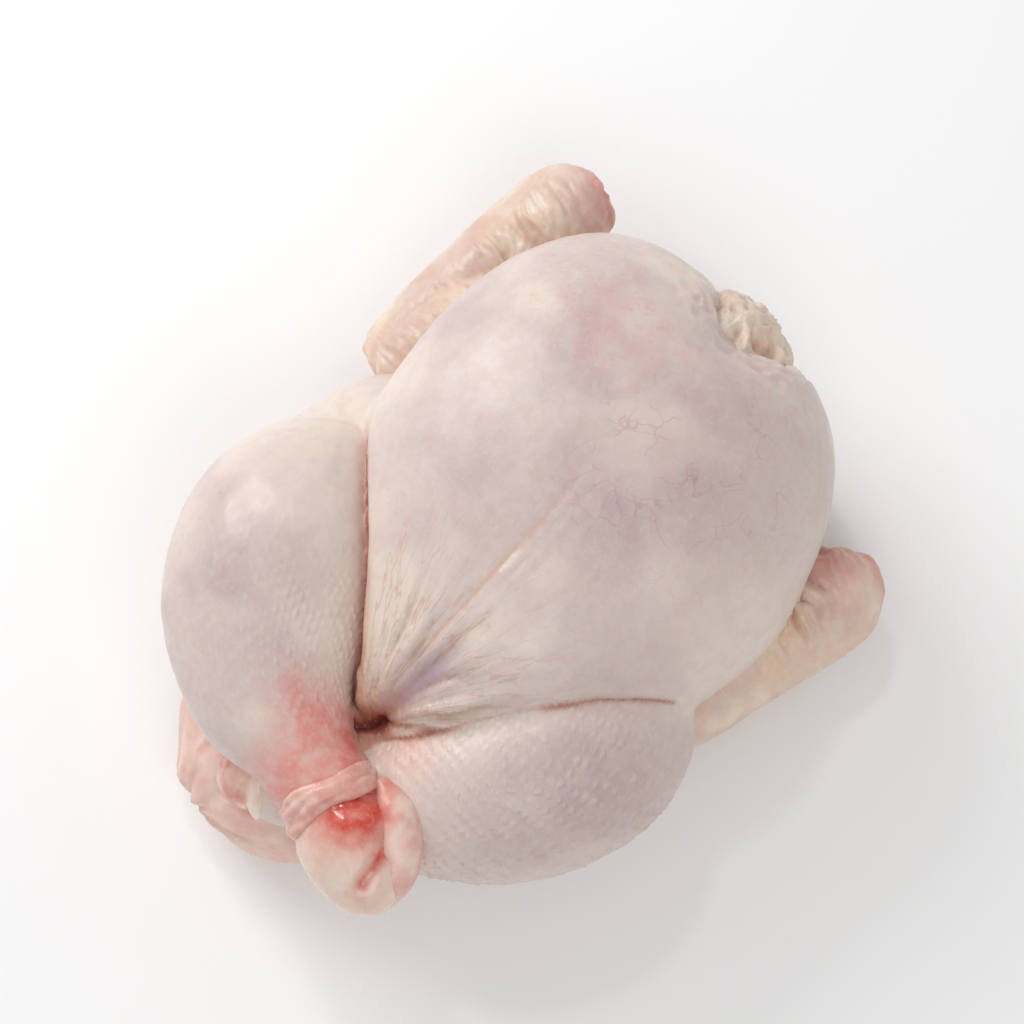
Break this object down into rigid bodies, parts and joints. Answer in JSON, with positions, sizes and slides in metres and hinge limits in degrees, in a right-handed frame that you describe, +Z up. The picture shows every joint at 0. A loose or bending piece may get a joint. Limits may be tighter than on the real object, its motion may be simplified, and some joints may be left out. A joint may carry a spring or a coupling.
{
  "type": "whole raw chicken",
  "caption": "Whole raw chicken lying on its back: smooth plump breast up, drumsticks crossed over the tail, wings folded at the sides, short neck skin in front.",
  "frame": {"origin": "middle of the bird's bounding box, on the surface it lies on", "axes": "+Z up, away from the surface, through the breast; +X from the tail to the neck along the keel; +Y towards the bird's right side"},
  "size_m": [0.2353, 0.1864, 0.1063],
  "materials": {
    "raw_skin": "moist pale raw skin, soft uneven gloss"
  },
  "bodies": {
    "root": {"chicken": "raw_skin"}
  },
  "joints": []
}
